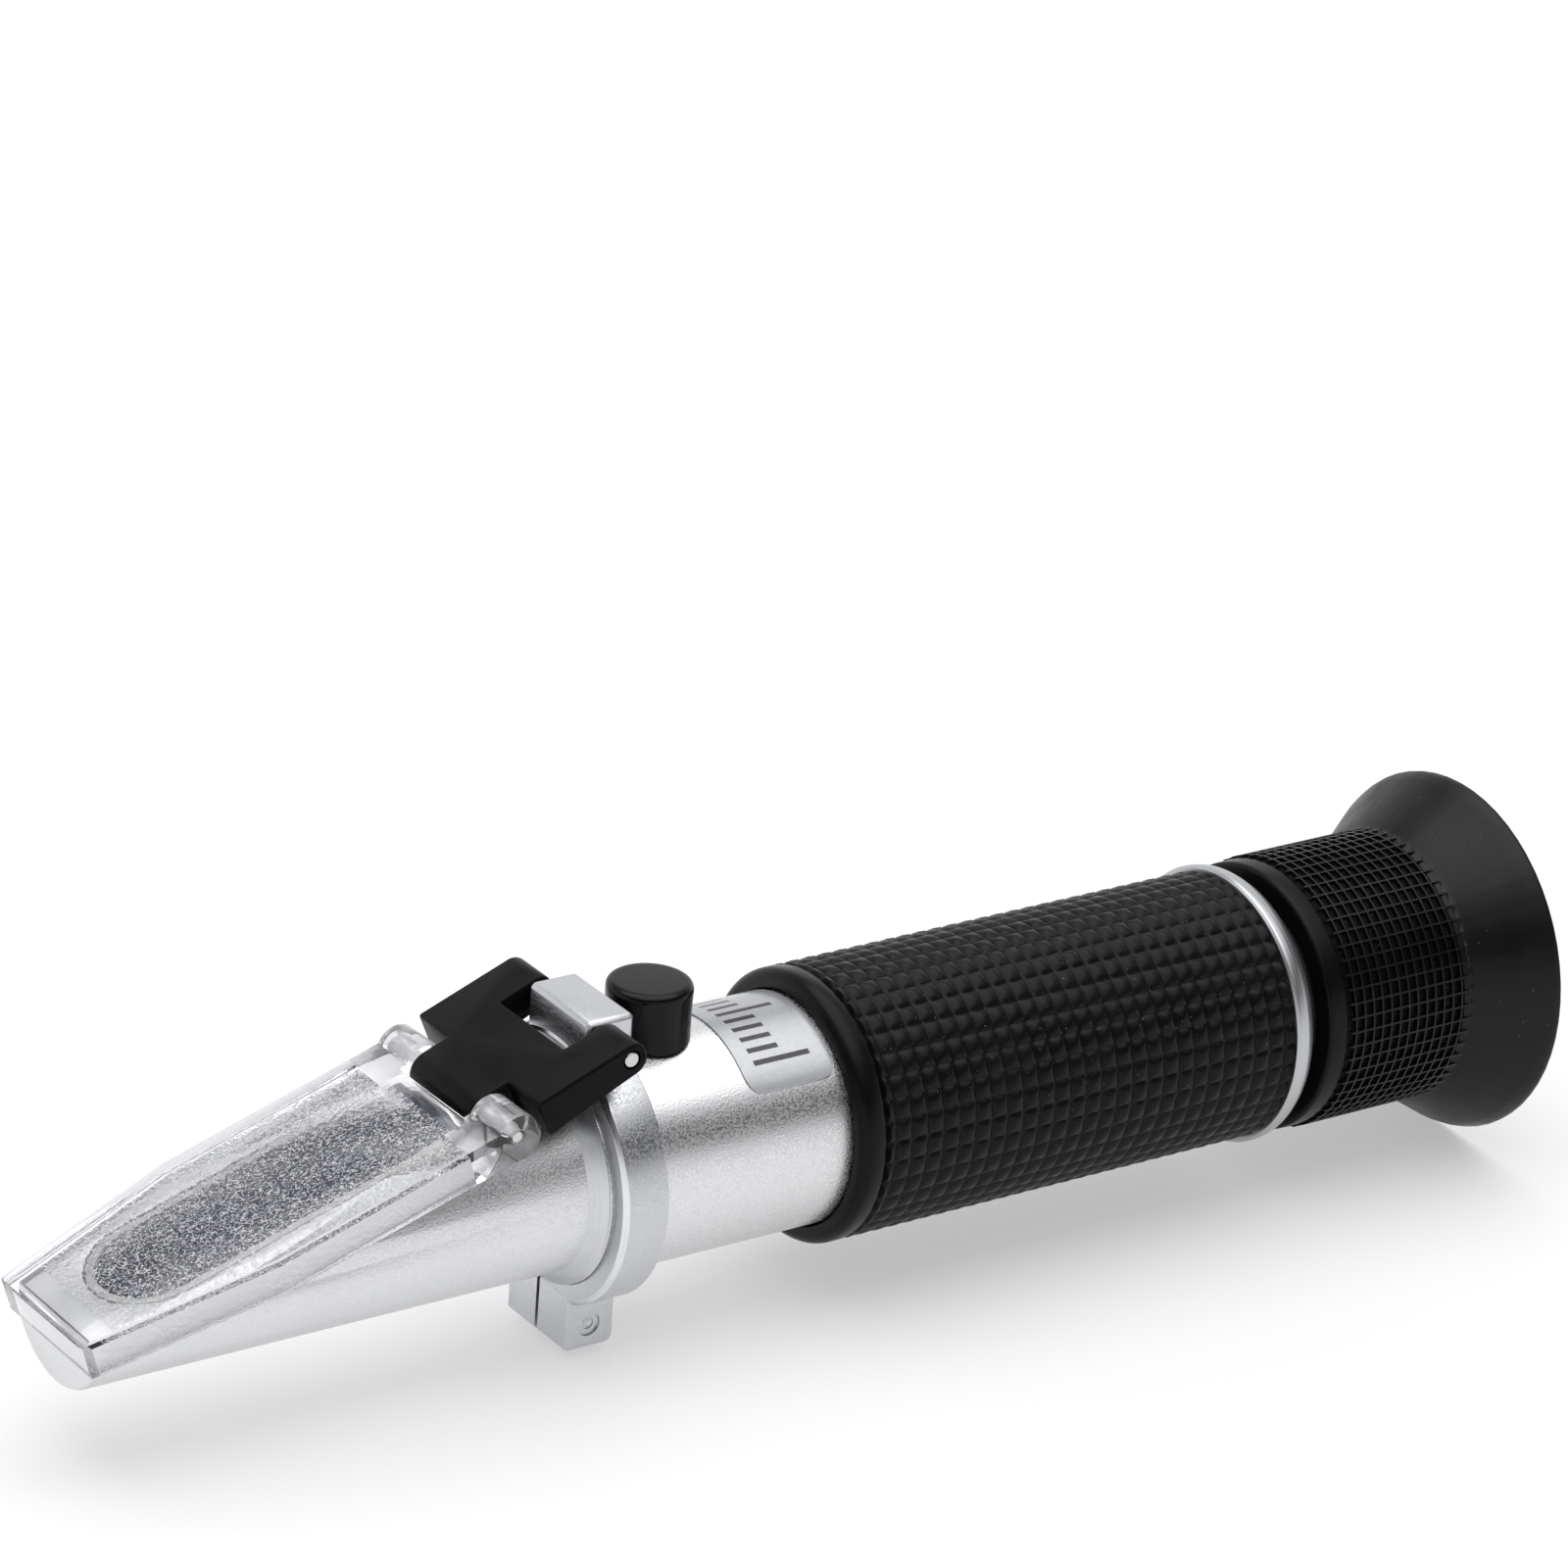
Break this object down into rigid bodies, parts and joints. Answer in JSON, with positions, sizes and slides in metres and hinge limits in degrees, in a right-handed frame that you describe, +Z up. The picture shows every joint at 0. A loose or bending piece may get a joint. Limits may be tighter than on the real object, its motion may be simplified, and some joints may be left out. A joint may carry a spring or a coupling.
{
  "type": "hand-held refractometer",
  "caption": "Hand-held optical refractometer: hinged clear daylight plate over an inclined prism, aluminium tube with clamp ring, rubber grip and turning eyepiece with a flared eyecup.",
  "frame": {"origin": "centre of the object's box in plan, at its lowest point, the bottom of the eyecup's rim", "axes": "+X along the optical axis from the sample end to the eye, +Z up through the calibration cap, +Y to the left seen from the eye end"},
  "size_m": [0.1704, 0.0388, 0.0388],
  "materials": {
    "satin_aluminium": "bead-blasted satin, light grey anodised",
    "trim_aluminium": "smooth turned, bright",
    "clear_acrylic": "clear, polished, frosted and pebbled underside",
    "prism_glass": "polished, dark blue",
    "lens_glass": "polished, coated",
    "cement": "matt grey sealing cement",
    "block_plastic": "moulded black, fine grain",
    "inner_black": "matt black",
    "black_rubber": "semi-matt black rubber",
    "pin_steel": "turned steel",
    "bush_brass": "turned brass",
    "bimetal": "rolled bimetal strip",
    "label_foil": "silvery plastic film"
  },
  "bodies": {
    "body": {"prism_housing": "satin_aluminium", "measuring_prism": "prism_glass", "prism_seal": "cement", "housing_oring": "black_rubber", "hinge_pin_rear": "pin_steel", "main_tube": "satin_aluminium", "clamp_ring": "satin_aluminium", "clamp_screw": "pin_steel", "tube_label": "label_foil", "calibration_bush": "bush_brass", "strip_screw_rear": "pin_steel", "compensator_bracket": "satin_aluminium", "glare_stop": "inner_black", "reticle_mount": "inner_black", "reticle": "lens_glass", "reticle_retaining_ring": "inner_black", "grip_sleeve": "black_rubber", "trim_ring": "trim_aluminium", "eyepiece_mount": "inner_black"},
    "hinge_block": {"hinge_block": "block_plastic", "hinge_pin_front": "pin_steel"},
    "daylight_plate": {"daylight_plate": "clear_acrylic"},
    "calibration_cap": {"calibration_cap": "black_rubber"},
    "calibration_screw": {"calibration_screw": "pin_steel"},
    "lens_frame": {"lens_carriage": "inner_black", "objective_lens": "lens_glass", "lens_lock_ring": "inner_black", "bimetal_strip": "bimetal", "strip_screw_front": "pin_steel"},
    "lens_barrel": {"eyepiece_barrel": "inner_black", "guide_pin": "pin_steel", "field_lens": "lens_glass", "lens_spacer": "inner_black", "eye_lens": "lens_glass", "lens_retaining_ring": "inner_black"},
    "eyepiece": {"focus_ring": "block_plastic", "eyecup": "black_rubber"}
  },
  "joints": [
    {"name": "hinge_block_pivot", "type": "hinge", "parent": "body", "child": "hinge_block", "pos_m": [-0.02718, 0, 0.0352], "axis": [0, 1, 0], "range_deg": [0, 110]},
    {"name": "daylight_plate_pivot", "type": "hinge", "parent": "hinge_block", "child": "daylight_plate", "pos_m": [-0.03988, 0, 0.02975], "axis": [0, 1, 0], "range_deg": [0, 95]},
    {"name": "calibration_cap_pull", "type": "slide", "parent": "body", "child": "calibration_cap", "axis": [0, 0, 1], "range_m": [0, 0.006]},
    {"name": "calibration_screw_turn", "type": "hinge", "parent": "body", "child": "calibration_screw", "pos_m": [-0.01811, 0, 0.0311], "axis": [0, 0, 1], "range_deg": [-180, 180]},
    {"name": "lens_frame_tilt", "type": "hinge", "parent": "body", "child": "lens_frame", "pos_m": [0.00602, 0, 0.0111], "axis": [0, 1, 0], "range_deg": [-0.415, 0.415]},
    {"name": "focus_slide", "type": "slide", "parent": "body", "child": "lens_barrel", "axis": [1, 0, 0], "range_m": [-0.0015, 0.0015]},
    {"name": "focus_turn", "type": "hinge", "parent": "lens_barrel", "child": "eyepiece", "pos_m": [0.06, 0, 0.0194], "axis": [1, 0, 0], "range_deg": [-180, 180]}
  ],
  "couplings": [
    {"joint": "calibration_screw_turn", "follows": "lens_frame_tilt", "ratio": 432.9},
    {"joint": "focus_turn", "follows": "focus_slide", "rad_per_m": 2096.4}
  ]
}
